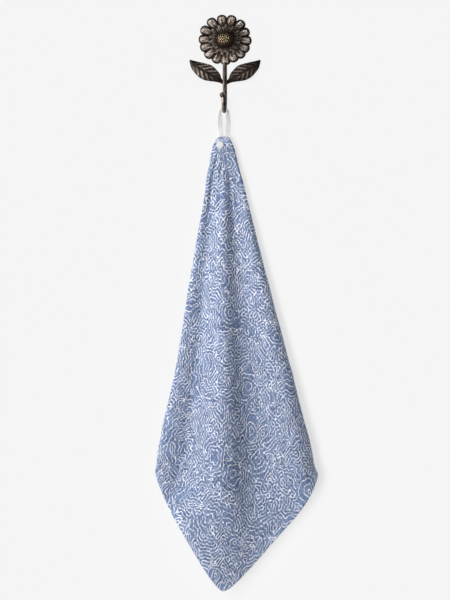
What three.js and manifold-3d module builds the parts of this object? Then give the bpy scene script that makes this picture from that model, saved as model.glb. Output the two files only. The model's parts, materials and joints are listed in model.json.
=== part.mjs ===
// A waffle-weave towel hung by one corner: a tape strap is sewn and snapped to the corner,
// and hangs over the J hook of a cast flower wall hook with two leaves.
// Millimetres, +Z up, the wall is the plane Y = 0 and the viewer stands at -Y.
// The origin is on the flat back of the hook, behind the middle of the flower.
import * as THREE from 'three';
import { mergeVertices } from 'three/addons/utils/BufferGeometryUtils.js';
import Module from 'manifold-3d';

// Towel
const TOWEL_SHORT_SIDE = 406;
const TOWEL_LONG_SIDE = 508;
const TOWEL_THICKNESS = 2;
const BIAS_SHEAR_DEG = 14;
const CORNER = new THREE.Vector3(-3.6, -25, -134.2);
const TURNED_IN_CORNER = 15.6;
const LEAN = 0.072;
const HEM_BOW = 0.02;

// Hanging strap
const TAPE_WIDTH = 8.8;
const TAPE_THICKNESS = 1.2;

// Press snap
const SNAP_CAP_DIAMETER = 11.2;
const SNAP_BACK_DIAMETER = 7.4;
const SNAP_POST_DIAMETER = 3.2;
const SNAP_HOLE_DIAMETER = 4;
const SNAP_CENTRE = new THREE.Vector3(-8.27, -25, -161.5);

// Wall hook
const BAR_RADIUS = 3.5;
const STEM_DEPTH = 5.5;
const U_RADIUS = 16;
const U_CENTRE_Z = -92.7;
const BALL_RADIUS = 4.1;
const FLOWER_HALF_WIDTH = 40.6;
const FLOWER_HALF_HEIGHT = 37.7;
const PETAL_WIDTH = 13.8;
const DOME_DIAMETER = 27.2;
const LEAF_THICKNESS = 2.4;

const DEG = Math.PI / 180;

// Smooth curve through the points (xs, ys) with no overshoot between them.
function smoothCurve(xs, ys) {
  const slopes = xs.slice(1).map((x, i) => (ys[i + 1] - ys[i]) / (x - xs[i]));
  const tangents = xs.map((x, i) => {
    if (i === 0) return slopes[0];
    if (i === xs.length - 1) return slopes[i - 1];
    const product = slopes[i - 1] * slopes[i];
    return product <= 0 ? 0 : (2 * product) / (slopes[i - 1] + slopes[i]);
  });
  return (x) => {
    let i = 0;
    while (i < xs.length - 2 && x > xs[i + 1]) i += 1;
    const h = xs[i + 1] - xs[i];
    const t = Math.min(1, Math.max(0, (x - xs[i]) / h));
    const a = (2 * t - 3) * t * t + 1;
    const b = ((t - 2) * t + 1) * t;
    const c = (3 - 2 * t) * t * t;
    const d = (t - 1) * t * t;
    return a * ys[i] + b * h * tangents[i] + c * ys[i + 1] + d * h * tangents[i + 1];
  };
}

const column = (table, name) => table.map((row) => row[name]);
const tableCurve = (table, x, y) => smoothCurve(column(table, x), column(table, y));

// A closed solid between two grids of points, front[i][j] and back[i][j].
// Rows run down and columns run to the viewer's right on the front face.
function solidFromGrids(front, back) {
  const rows = front.length;
  const cols = front[0].length;
  const points = [...front.flat(), ...back.flat()];
  const f = (i, j) => i * cols + j;
  const b = (i, j) => rows * cols + i * cols + j;
  const faces = [];
  const quad = (p, q, r, s) => {
    const short = points[p].distanceTo(points[r]) <= points[q].distanceTo(points[s]);
    if (short) faces.push(p, q, r, p, r, s);
    else faces.push(p, q, s, q, r, s);
  };
  for (let i = 0; i < rows - 1; i += 1) {
    for (let j = 0; j < cols - 1; j += 1) {
      quad(f(i, j), f(i + 1, j), f(i + 1, j + 1), f(i, j + 1));
      quad(b(i, j), b(i, j + 1), b(i + 1, j + 1), b(i + 1, j));
    }
    quad(f(i, 0), b(i, 0), b(i + 1, 0), f(i + 1, 0));
    quad(f(i + 1, cols - 1), b(i + 1, cols - 1), b(i, cols - 1), f(i, cols - 1));
  }
  for (let j = 0; j < cols - 1; j += 1) {
    quad(f(0, j + 1), b(0, j + 1), b(0, j), f(0, j));
    quad(f(rows - 1, j), b(rows - 1, j), b(rows - 1, j + 1), f(rows - 1, j + 1));
  }
  const geometry = new THREE.BufferGeometry();
  const positions = points.flatMap((p) => [p.x, p.y, p.z]);
  geometry.setAttribute('position', new THREE.Float32BufferAttribute(positions, 3));
  geometry.setIndex(faces);
  return geometry;
}

// Joins and cuts
const wasm = await Module();
wasm.setup();

function toSolid(geometry) {
  const bare = geometry.clone();
  bare.deleteAttribute('normal');
  bare.deleteAttribute('uv');
  const merged = mergeVertices(bare, 1e-4);
  return new wasm.Manifold(new wasm.Mesh({
    numProp: 3,
    vertProperties: new Float32Array(merged.attributes.position.array),
    triVerts: new Uint32Array(merged.index.array),
  }));
}

function toGeometry(solid) {
  const mesh = solid.getMesh();
  const geometry = new THREE.BufferGeometry();
  geometry.setAttribute('position', new THREE.BufferAttribute(mesh.vertProperties, 3));
  geometry.setIndex(new THREE.BufferAttribute(mesh.triVerts, 1));
  return geometry;
}

// The hole for the snap's post, through the front layer of the cloth and one end of the tape
function snapHole() {
  const hole = new THREE.CylinderGeometry(SNAP_HOLE_DIAMETER / 2, SNAP_HOLE_DIAMETER / 2, 6, 16);
  hole.translate(SNAP_CENTRE.x, SNAP_CENTRE.y, SNAP_CENTRE.z);
  return toSolid(hole);
}

const joined = (solids) => solids.reduce((all, solid) => all.add(solid));

// The towel hangs in folds that spread from its top corner, one row per crease.
// angle: where the crease lies low down, in degrees from the diagonal, to the right
// beside: how far the crease passes beside the corner, in mm
// top, low: which way the cloth runs there, near the corner and low down, in degrees:
// 0 to the right, 90 towards the viewer, 180 back to the left behind the front layer
// steps: columns of the mesh up to the next row
const CREASES = [
  { angle: -43, beside: 0, top: 186, low: 180, steps: 3 },
  { angle: -39, beside: -1, top: 190, low: 200, steps: 4 },
  { angle: -34, beside: -3.5, top: 186, low: 152, steps: 4 },
  { angle: -29.5, beside: -5.5, top: 184, low: 206, steps: 4 },
  { angle: -25, beside: -7, top: 182, low: 154, steps: 4 },
  { angle: -20.8, beside: -8, top: 180, low: 198, steps: 3 },
  { angle: -17.2, beside: -8.5, top: 178, low: 180, steps: 3 },
  { angle: -15.2, beside: -8.6, top: 168, low: 170, steps: 4 },
  { angle: -13.7, beside: -8, top: 90, low: 90, steps: 4 },
  { angle: -12.2, beside: -7.4, top: 10, low: 4, steps: 3 },
  { angle: -9.8, beside: -7, top: 2, low: -18, steps: 4 },
  { angle: -6.5, beside: -6, top: 1, low: 42, steps: 3 },
  { angle: -3.2, beside: -3, top: 0, low: 49, steps: 4 },
  { angle: 0, beside: 0, top: 0, low: 0, steps: 4 },
  { angle: 2.8, beside: 4, top: 0, low: -38, steps: 4 },
  { angle: 6.3, beside: 7, top: -1, low: 0, steps: 3 },
  { angle: 10, beside: 7, top: -2, low: 29, steps: 3 },
  { angle: 13.4, beside: 6.8, top: -6, low: 17, steps: 3 },
  { angle: 15.6, beside: 6.4, top: -30, low: -37, steps: 4 },
  { angle: 17.8, beside: 6.2, top: -100, low: -92, steps: 4 },
  { angle: 20, beside: 6, top: -170, low: -170, steps: 5 },
  { angle: 26, beside: 3, top: -180, low: -179, steps: 5 },
  { angle: 33, beside: 0, top: -186, low: -188, steps: 0 },
];

// How far the folds are closed at each distance from the corner: 1 is fully folded.
const CLOSING = [
  { distance: 0, closed: 0.16 },
  { distance: 15, closed: 0.22 },
  { distance: 30, closed: 0.48 },
  { distance: 50, closed: 0.68 },
  { distance: 80, closed: 0.86 },
  { distance: 130, closed: 0.95 },
  { distance: 200, closed: 0.985 },
  { distance: 300, closed: 1 },
  { distance: 540, closed: 1 },
  { distance: 585, closed: 0.74 },
  { distance: 620, closed: 0.44 },
  { distance: 680, closed: 0.24 },
  { distance: 760, closed: 0.25 },
];

const ROWS_DOWN_THE_CLOTH = 21;
const CREASES_MEET_BELOW = 34;
const CREASES_LOW_AT = 540;

const closedAt = tableCurve(CLOSING, 'distance', 'closed');
const besideAt = tableCurve(CREASES, 'angle', 'beside');
const cornerAngle = (90 - BIAS_SHEAR_DEG) * DEG;
const diagonal = Math.sqrt(TOWEL_SHORT_SIDE ** 2 + TOWEL_LONG_SIDE ** 2
  + 2 * TOWEL_SHORT_SIDE * TOWEL_LONG_SIDE * Math.cos(cornerAngle));
const shortSideAngle = Math.asin((TOWEL_LONG_SIDE * Math.sin(cornerAngle)) / diagonal);
const longSideAngle = Math.asin((TOWEL_SHORT_SIDE * Math.sin(cornerAngle)) / diagonal);

// A crease's own angle moves sideways towards the corner.
function creaseShift(beside, distance) {
  return (beside / DEG) * (1 / Math.max(distance, CREASES_MEET_BELOW) - 1 / CREASES_LOW_AT);
}

// Distance from the corner to the lower hem along a direction in the flat cloth.
function hemDistance(angle) {
  const a = Math.abs(angle) * DEG;
  const opposite = angle <= 0 ? longSideAngle : shortSideAngle;
  const straight = (diagonal * Math.sin(opposite)) / Math.sin(a + opposite);
  const q = Math.abs(angle) / 3.4;
  return straight * (1 + HEM_BOW * q * Math.exp(1 - q) * (straight / diagonal) ** 3);
}

// The heading of the cloth at every angle, at one distance from the corner.
function headingsAt(distance) {
  const s = THREE.MathUtils.smoothstep(distance, 45, 125);
  const xs = CREASES.map((c) => c.angle + creaseShift(c.beside, distance));
  const ys = CREASES.map((c) => (c.top + (c.low - c.top) * s) * closedAt(distance));
  return smoothCurve(xs, ys);
}

// Where the cloth lies at a distance and an angle from its corner: the cloth isn't
// stretched, so every ring round the corner keeps its length on a sphere of its distance.
function clothPoint(distance, angle, heading) {
  const lean = LEAN * Math.min(1, Math.max(0, (distance - 30) / 150));
  const at = new THREE.Vector3(0, -lean, -1).normalize();
  const steps = Math.max(1, Math.ceil(Math.abs(angle) / 0.25));
  const step = angle / steps;
  for (let k = 0; k < steps; k += 1) {
    const h = heading((k + 0.5) * step) * DEG;
    const right = new THREE.Vector3(1, 0, 0).addScaledVector(at, -at.x).normalize();
    const out = new THREE.Vector3().crossVectors(right, at);
    if (out.y > 0) out.negate();
    at.addScaledVector(right, Math.cos(h) * step * DEG);
    at.addScaledVector(out, Math.sin(h) * step * DEG).normalize();
  }
  return at.multiplyScalar(distance).add(CORNER);
}

function towelGeometry() {
  const angles = [];
  CREASES.forEach((crease, i) => {
    for (let k = 0; k < crease.steps; k += 1) {
      angles.push(crease.angle + ((CREASES[i + 1].angle - crease.angle) * k) / crease.steps);
    }
  });
  angles.push(CREASES.at(-1).angle);
  angles[0] = -shortSideAngle / DEG;
  angles[angles.length - 1] = longSideAngle / DEG;
  const middle = [];
  for (let i = 0; i <= ROWS_DOWN_THE_CLOTH; i += 1) {
    const down = (i / ROWS_DOWN_THE_CLOTH) ** 1.6;
    middle.push(angles.map((low) => {
      let distance = 300;
      let angle = low;
      for (let k = 0; k < 6; k += 1) {
        angle = low + creaseShift(besideAt(low), distance);
        const first = TURNED_IN_CORNER / Math.cos(angle * DEG);
        distance = first + down * (hemDistance(angle) - first);
      }
      return clothPoint(distance, angle, headingsAt(distance));
    }));
  }
  const rows = middle.length;
  const cols = angles.length;
  const offset = (side) => middle.map((row, i) => row.map((point, j) => {
    const across = row[Math.min(j + 1, cols - 1)].clone().sub(row[Math.max(j - 1, 0)]);
    const down = middle[Math.min(i + 1, rows - 1)][j].clone()
      .sub(middle[Math.max(i - 1, 0)][j]);
    const normal = down.cross(across).normalize();
    return point.clone().addScaledVector(normal, (side * TOWEL_THICKNESS) / 2);
  }));
  const cloth = toSolid(solidFromGrids(offset(1), offset(-1)));
  return toGeometry(cloth.subtract(snapHole()));
}

// The tape's path, one row per station from its snapped end, over the hook, to its sewn end.
// turn: 0 when the tape faces the viewer, 90 when it is seen on edge
const TAPE_STATIONS = [
  { x: -6.5, y: -22.9, z: -168.5, turn: 0 },
  { x: -6.5, y: -22.9, z: -160, turn: 0 },
  { x: -6.5, y: -22.9, z: -151, turn: 0 },
  { x: -8.9, y: -22.8, z: -140, turn: 14 },
  { x: -9.4, y: -21.9, z: -128, turn: 50 },
  { x: -8.8, y: -21.5, z: -117, turn: 80 },
  { x: -7.8, y: -21.5, z: -109, turn: 90 },
  { x: -5.6, y: -21.5, z: -104.8, turn: 90 },
  { x: -1.6, y: -21.5, z: -103.1, turn: 90 },
  { x: 2.4, y: -21.5, z: -104.8, turn: 90 },
  { x: 4.6, y: -21.5, z: -109, turn: 90 },
  { x: 5.9, y: -21.5, z: -117, turn: 80 },
  { x: 6.4, y: -21.4, z: -128, turn: 50 },
  { x: 4.2, y: -21.4, z: -140, turn: 14 },
  { x: 0.5, y: -21.2, z: -151, turn: 0 },
  { x: 0.5, y: -21.2, z: -160, turn: 0 },
  { x: 0.5, y: -21.2, z: -168.5, turn: 0 },
];

function tapeGeometry() {
  const path = new THREE.CatmullRomCurve3(
    TAPE_STATIONS.map((s) => new THREE.Vector3(s.x, s.y, s.z)), false, 'centripetal');
  const turnAt = smoothCurve(TAPE_STATIONS.map((s, i) => i), column(TAPE_STATIONS, 'turn'));
  const spans = TAPE_STATIONS.length - 1;
  const count = 4 * spans;
  const front = [];
  const back = [];
  for (let i = 0; i <= count; i += 1) {
    const at = path.getPoint(i / count);
    const along = path.getTangent(i / count);
    const turn = turnAt((i / count) * spans) * DEG;
    const across = new THREE.Vector3(Math.cos(turn), Math.sin(turn), 0);
    across.addScaledVector(along, -across.dot(along)).normalize();
    const face = new THREE.Vector3().crossVectors(across, along);
    const corner = (u, v) => at.clone().addScaledVector(across, (u * TAPE_WIDTH) / 2)
      .addScaledVector(face, (v * TAPE_THICKNESS) / 2);
    front.push([corner(-1, 1), corner(0, 1), corner(1, 1)]);
    back.push([corner(-1, -1), corner(0, -1), corner(1, -1)]);
  }
  front.reverse();
  back.reverse();
  return toGeometry(toSolid(solidFromGrids(front, back)).subtract(snapHole()));
}

// Front cap, post through the cloth and the tape, and back cap, turned about the Y axis.
function snapGeometry() {
  const front = 1.4;
  const back = -3.05;
  const post = SNAP_POST_DIAMETER / 2;
  const cap = SNAP_CAP_DIAMETER / 2;
  const button = SNAP_BACK_DIAMETER / 2;
  const outline = [
    [0, back - 1.6],
    [button - 0.6, back - 1.6],
    [button, back - 1.1],
    [button, back - 0.1],
    [post, back],
    [post, front],
    [cap - 0.2, front],
    [cap, front + 0.5],
    [cap - 0.7, front + 1.4],
    [cap - 2.4, front + 2],
    [0, front + 2.2],
  ].map(([radius, height]) => new THREE.Vector2(radius, height));
  const geometry = new THREE.LatheGeometry(outline, 24);
  geometry.rotateX(Math.PI);
  return geometry;
}

// The bar runs down behind the flower, round the U and up to the ball.
function barPath() {
  const points = [
    new THREE.Vector3(-0.8, -STEM_DEPTH, -20),
    new THREE.Vector3(-0.8, -STEM_DEPTH, -45),
    new THREE.Vector3(-0.8, -STEM_DEPTH, -70),
    new THREE.Vector3(-0.8, -STEM_DEPTH, -84),
  ];
  for (let k = 0; k <= 8; k += 1) {
    const a = (k / 8) * Math.PI;
    points.push(new THREE.Vector3(
      -0.8 - (1.8 * k) / 8,
      -STEM_DEPTH - U_RADIUS * (1 - Math.cos(a)),
      U_CENTRE_Z - U_RADIUS * Math.sin(a),
    ));
  }
  points.push(new THREE.Vector3(-3.6, -STEM_DEPTH - 2 * U_RADIUS, -86));
  return new THREE.CatmullRomCurve3(points, false, 'centripetal');
}

// Outer petals, clockwise from the top, in degrees
const PETAL_ANGLES = [-8, 18, 44, 69, 92, 114, 134, 156, 179, 202, 226, 249, 271, 296, 324];

function petal(angle, reach, width, length, depth, thickness, detail) {
  const geometry = new THREE.SphereGeometry(1, ...detail);
  geometry.scale(width / 2, thickness / 2, length / 2);
  geometry.translate(0, 0, reach - length / 2);
  geometry.rotateY(angle * DEG);
  geometry.scale(1, 1, FLOWER_HALF_HEIGHT / FLOWER_HALF_WIDTH);
  geometry.translate(-0.15, -depth, 1.9);
  return toSolid(geometry);
}

// A leaf's outline, one row per station from its tip to the stem, and how far its middle
// stands out from the wall. x is measured from the stem's middle.
const LEAF_STATIONS = [
  { topX: -54.4, topZ: -30.4, lowX: -54.8, lowZ: -31.2, depth: 9 },
  { topX: -44.1, topZ: -32.3, lowX: -51.9, lowZ: -41.3, depth: 8 },
  { topX: -31.2, topZ: -33.5, lowX: -46.8, lowZ: -49.1, depth: 7 },
  { topX: -20.7, topZ: -36.8, lowX: -39, lowZ: -56.3, depth: 6.2 },
  { topX: -12.9, topZ: -44, lowX: -30, lowZ: -60.2, depth: 5.8 },
  { topX: -7.8, topZ: -50.4, lowX: -18.3, lowZ: -61.9, depth: 5.5 },
  { topX: -5.6, topZ: -56.9, lowX: -10.1, lowZ: -63.2, depth: 5.5 },
  { topX: -0.6, topZ: -61.6, lowX: -0.6, lowZ: -67.7, depth: 5.5 },
];

function leaf(side) {
  const across = 6;
  const grid = (behind) => LEAF_STATIONS.map((s) => {
    const row = [];
    for (let k = 0; k <= across; k += 1) {
      const t = k / across;
      const crown = 2.2 * Math.sin(Math.PI * t) - 1.6 * Math.exp(-(((t - 0.5) / 0.14) ** 2));
      row.push(new THREE.Vector3(
        -0.4 + side * (s.topX + (s.lowX - s.topX) * t),
        -(s.depth + crown) + behind,
        s.topZ + (s.lowZ - s.topZ) * t,
      ));
    }
    return side > 0 ? row.reverse() : row;
  });
  return toSolid(solidFromGrids(grid(0), grid(LEAF_THICKNESS)));
}

function hookGeometry() {
  const section = new THREE.Shape();
  section.absarc(0, 0, BAR_RADIUS, 0, 2 * Math.PI);
  const bar = new THREE.ExtrudeGeometry(section, {
    steps: 36, curveSegments: 6, extrudePath: barPath(), bevelEnabled: false,
  });
  const ball = new THREE.SphereGeometry(BALL_RADIUS, 14, 10);
  ball.translate(-4.05, -STEM_DEPTH - 2 * U_RADIUS, -84.6);
  const plate = new THREE.LatheGeometry([
    [0, 0],
    [31, 0],
    [33, 1.5],
    [30, 5],
    [20, 8.5],
    [0, 9.5],
  ].map(([radius, depth]) => new THREE.Vector2(radius, depth)), 40);
  plate.rotateX(Math.PI);
  plate.scale(1, 1, FLOWER_HALF_HEIGHT / FLOWER_HALF_WIDTH);
  plate.translate(-0.15, 0, 1.9);
  const dome = new THREE.SphereGeometry(DOME_DIAMETER / 2, 18, 10);
  dome.scale(1, 0.56, 0.92);
  dome.translate(0.1, -9.5, 1.6);
  const outer = PETAL_ANGLES.map((a) => petal(a, FLOWER_HALF_WIDTH, PETAL_WIDTH, 25, 6, 7.4, [10, 7]));
  const inner = PETAL_ANGLES.map((a) => petal(a + 12, 23, 6.6, 14, 9.6, 5, [8, 5]));
  return toGeometry(joined([
    toSolid(bar), toSolid(ball), toSolid(plate), toSolid(dome),
    leaf(1), leaf(-1), ...outer, ...inner,
  ]));
}

const blueCloth = new THREE.MeshStandardMaterial({ color: 0x7089bb, roughness: 0.95, metalness: 0 });
const whiteTape = new THREE.MeshStandardMaterial({ color: 0xeceae4, roughness: 0.85, metalness: 0 });
const whitePlastic = new THREE.MeshStandardMaterial({ color: 0xf1f1ee, roughness: 0.35, metalness: 0 });
const agedBronze = new THREE.MeshStandardMaterial({ color: 0x6a5444, roughness: 0.45, metalness: 0.9 });

function piece(name, geometry, material) {
  const mesh = new THREE.Mesh(geometry, material);
  mesh.name = name;
  return mesh;
}

const group = new THREE.Group();
group.add(piece('towel', towelGeometry(), blueCloth));
group.add(piece('hanging_strap', tapeGeometry(), whiteTape));
const snap = piece('snap', snapGeometry(), whitePlastic);
snap.position.copy(SNAP_CENTRE);
group.add(snap);
group.add(piece('hook', hookGeometry(), agedBronze));

export default group;
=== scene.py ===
# A waffle-weave towel that hangs by one corner from a cast flower wall hook.
# Metres in Blender; the tables below are in millimetres, as the object was measured.
# +Z is up, the wall is the plane Y = 0 and the viewer stands at -Y.
import json
import math

import bpy
import numpy as np
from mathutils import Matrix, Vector

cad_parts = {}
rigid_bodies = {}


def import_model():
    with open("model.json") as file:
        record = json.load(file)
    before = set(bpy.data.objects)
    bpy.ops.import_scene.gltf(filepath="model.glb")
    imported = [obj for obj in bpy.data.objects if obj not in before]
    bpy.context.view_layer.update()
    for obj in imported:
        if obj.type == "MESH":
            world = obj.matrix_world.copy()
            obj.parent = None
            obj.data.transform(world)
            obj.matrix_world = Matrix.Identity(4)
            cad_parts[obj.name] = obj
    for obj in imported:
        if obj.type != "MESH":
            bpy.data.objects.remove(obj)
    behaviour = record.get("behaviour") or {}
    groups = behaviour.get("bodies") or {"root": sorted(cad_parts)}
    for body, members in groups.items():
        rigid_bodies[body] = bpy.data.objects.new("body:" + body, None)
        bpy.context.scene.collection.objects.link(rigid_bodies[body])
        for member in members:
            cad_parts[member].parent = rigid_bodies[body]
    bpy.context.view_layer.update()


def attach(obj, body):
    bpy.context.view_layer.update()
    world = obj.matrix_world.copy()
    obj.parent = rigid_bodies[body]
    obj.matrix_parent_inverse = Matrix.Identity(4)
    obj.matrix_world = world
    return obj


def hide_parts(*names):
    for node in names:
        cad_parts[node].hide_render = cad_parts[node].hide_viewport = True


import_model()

MM = 0.001
DEG = math.pi / 180


# Curves and meshes
def smooth_curve(xs, ys):
    """Smooth curve through the points (xs, ys) with no overshoot between them."""
    xs, ys = np.asarray(xs, float), np.asarray(ys, float)
    slopes = np.diff(ys) / np.diff(xs)
    tangents = np.empty_like(xs)
    tangents[0], tangents[-1] = slopes[0], slopes[-1]
    product = slopes[:-1] * slopes[1:]
    total = slopes[:-1] + slopes[1:]
    safe = np.where(product > 0, total, 1.0)
    tangents[1:-1] = np.where(product > 0, 2 * product / safe, 0.0)

    def at(x):
        x = np.asarray(x, float)
        i = np.searchsorted(xs[1:-1], x, side="left")
        h = xs[i + 1] - xs[i]
        t = np.clip((x - xs[i]) / h, 0, 1)
        a = (2 * t - 3) * t * t + 1
        b = ((t - 2) * t + 1) * t
        c = (3 - 2 * t) * t * t
        d = (t - 1) * t * t
        return a * ys[i] + b * h * tangents[i] + c * ys[i + 1] + d * h * tangents[i + 1]

    return at


def smoothstep(x, low, high):
    t = np.clip((x - low) / (high - low), 0, 1)
    return t * t * (3 - 2 * t)


def unit(v):
    return v / np.maximum(np.linalg.norm(v, axis=-1, keepdims=True), 1e-12)


def centripetal(points, count):
    """count + 1 points on the centripetal curve through the points, evenly by span."""
    p = np.asarray(points, float)
    p = np.vstack([2 * p[0] - p[1], p, 2 * p[-1] - p[-2]])
    spans = len(p) - 3
    out = []
    for k in range(count + 1):
        t = min(k / count * spans, spans - 1e-9)
        i = int(t)
        t -= i
        p0, p1, p2, p3 = p[i:i + 4]
        d0, d1, d2 = (max(np.linalg.norm(b - a), 1e-6) ** 0.5
                      for a, b in ((p0, p1), (p1, p2), (p2, p3)))
        m1 = ((p1 - p0) / d0 - (p2 - p0) / (d0 + d1) + (p2 - p1) / d1) * d1
        m2 = ((p2 - p1) / d1 - (p3 - p1) / (d1 + d2) + (p3 - p2) / d2) * d1
        a, b = p1, m1
        c = -3 * p1 + 3 * p2 - 2 * m1 - m2
        d = 2 * p1 - 2 * p2 + m1 + m2
        out.append(a + b * t + c * t * t + d * t ** 3)
    return np.array(out)


def make_object(name, points_mm, faces, material):
    mesh = bpy.data.meshes.new(name)
    faces = np.asarray(faces, dtype=np.int32)
    points = np.asarray(points_mm, dtype=np.float32) * MM
    mesh.vertices.add(len(points))
    mesh.vertices.foreach_set("co", points.ravel())
    width = faces.shape[1]
    mesh.loops.add(faces.size)
    mesh.loops.foreach_set("vertex_index", faces.ravel())
    mesh.polygons.add(len(faces))
    mesh.polygons.foreach_set("loop_start", np.arange(len(faces), dtype=np.int32) * width)
    mesh.update(calc_edges=True)
    mesh.validate()
    mesh.shade_smooth()
    mesh.materials.append(material)
    obj = bpy.data.objects.new(name, mesh)
    bpy.context.scene.collection.objects.link(obj)
    return obj


def add_values(obj, name, values):
    layer = obj.data.attributes.new(name, "FLOAT", "POINT")
    layer.data.foreach_set("value", np.asarray(values, dtype=np.float32).ravel())


def add_uv(obj, uv_metres):
    """A UV map in metres on the flat cloth, from one pair for each vertex."""
    layer = obj.data.uv_layers.new(name="cloth")
    index = np.empty(len(obj.data.loops), dtype=np.int32)
    obj.data.loops.foreach_get("vertex_index", index)
    layer.data.foreach_set("uv", np.asarray(uv_metres, dtype=np.float32)[index].ravel())


def grid_faces(rows, cols, flip=False):
    i, j = np.meshgrid(np.arange(rows - 1), np.arange(cols - 1), indexing="ij")
    a = (i * cols + j).ravel()
    quads = np.stack([a, a + cols, a + cols + 1, a + 1], axis=1)
    return quads[:, ::-1] if flip else quads


def closed_grid(front, back):
    """A closed body between two grids of points; front faces out where rows run down
    and columns run to the right."""
    rows, cols = front.shape[:2]
    n = rows * cols
    faces = [grid_faces(rows, cols), grid_faces(rows, cols, True) + n]
    i = np.arange(rows - 1) * cols
    faces.append(np.stack([i, i + n, i + cols + n, i + cols], axis=1))
    k = i + cols - 1
    faces.append(np.stack([k + cols, k + cols + n, k + n, k], axis=1))
    j = np.arange(cols - 1)
    faces.append(np.stack([j + 1, j + 1 + n, j + n, j], axis=1))
    m = j + (rows - 1) * cols
    faces.append(np.stack([m, m + n, m + 1 + n, m + 1], axis=1))
    return np.vstack([front.reshape(-1, 3), back.reshape(-1, 3)]), np.vstack(faces)


def tube(path, sections):
    """A closed tube: sections[i] is the ring of points at path point i, clockwise as one
    looks back along the path."""
    rings, sides = sections.shape[:2]
    points = sections.reshape(-1, 3)
    faces = []
    for i in range(rings - 1):
        for k in range(sides):
            a, b = i * sides + k, i * sides + (k + 1) % sides
            faces.append((a, a + sides, b + sides, b))
    first, last = len(points), len(points) + 1
    points = np.vstack([points, path[0], path[-1]])
    base = (rings - 1) * sides
    for k in range(0, sides, 2):
        faces.append((first, k, k + 1, (k + 2) % sides))
        faces.append((last, base + (k + 2) % sides, base + k + 1, base + k))
    return points, faces


def joined(parts):
    """Several (points, faces, values) as one."""
    points, faces, values, start = [], [], [], 0
    for p, f, v in parts:
        points.append(p)
        faces.append(np.asarray(f) + start)
        values.append(v)
        start += len(p)
    return np.vstack(points), np.vstack(faces), np.concatenate(values)


# Materials
class Nodes:
    """Short ways to add nodes to one material."""

    def __init__(self, name):
        self.material = bpy.data.materials.new(name)
        self.material.use_nodes = True
        self.tree = self.material.node_tree
        self.shader = self.tree.nodes["Principled BSDF"]
        self.output = self.tree.nodes["Material Output"]

    def node(self, kind, inputs=(), **settings):
        node = self.tree.nodes.new(kind)
        for key, value in settings.items():
            setattr(node, key, value)
        for key, value in dict(inputs).items():
            self.put(node.inputs[key], value)
        return node

    def put(self, socket, value):
        if isinstance(value, bpy.types.NodeSocket):
            self.tree.links.new(value, socket)
        else:
            socket.default_value = value

    def math(self, operation, a, b=0.0, c=0.0):
        node = self.node("ShaderNodeMath", operation=operation)
        for socket, value in zip(node.inputs, (a, b, c)):
            self.put(socket, value)
        return node.outputs[0]

    def step(self, value, low, high, to_low=0.0, to_high=1.0):
        node = self.node("ShaderNodeMapRange", interpolation_type="SMOOTHSTEP")
        for key, v in zip(("Value", "From Min", "From Max", "To Min", "To Max"),
                          (value, low, high, to_low, to_high)):
            self.put(node.inputs[key], v)
        return node.outputs[0]

    def mix(self, factor, a, b, blend="MIX"):
        node = self.node("ShaderNodeMix", data_type="RGBA", blend_type=blend)
        self.put(node.inputs[0], factor)
        self.put(node.inputs[6], a)
        self.put(node.inputs[7], b)
        return node.outputs[2]

    def noise(self, vector, scale, detail=2.0, roughness=0.5, distortion=0.0):
        node = self.node("ShaderNodeTexNoise", {
            "Vector": vector, "Scale": scale, "Detail": detail,
            "Roughness": roughness, "Distortion": distortion})
        return node.outputs["Fac"]

    def value(self, name):
        return self.node("ShaderNodeAttribute", attribute_name=name).outputs["Fac"]

    def position(self):
        return self.node("ShaderNodeTexCoord").outputs["Object"]

    def uv(self):
        return self.node("ShaderNodeUVMap", uv_map="cloth").outputs["UV"]

    def bump(self, height, distance, strength=1.0):
        inputs = {"Height": height, "Distance": distance, "Strength": strength}
        return self.node("ShaderNodeBump", inputs).outputs["Normal"]

    def finish(self, color, roughness, normal, **constants):
        self.put(self.shader.inputs["Base Color"], color)
        self.put(self.shader.inputs["Roughness"], roughness)
        self.put(self.shader.inputs["Normal"], normal)
        for key, value in constants.items():
            self.shader.inputs[key.replace("_", " ")].default_value = value
        return self.material


def yarn_height(n, across, along):
    """Height of a plain weave of round yarns; across and along are its repeats in metres."""
    split = n.node("ShaderNodeSeparateXYZ", {"Vector": n.uv()})
    u, v = split.outputs[0], split.outputs[1]
    warp = n.math("SINE", n.math("MULTIPLY", u, 2 * math.pi / across))
    weft = n.math("SINE", n.math("MULTIPLY", v, 2 * math.pi / along))
    return n.math("MULTIPLY", warp, weft)


SHORT_SIDE, LONG_SIDE = 406.0, 508.0
CELLS_U, CELLS_V = 80, 100
CELL_U, CELL_V = SHORT_SIDE / CELLS_U, LONG_SIDE / CELLS_V   # one waffle cell, in mm
YARNS_IN_CELL = 6


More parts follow.
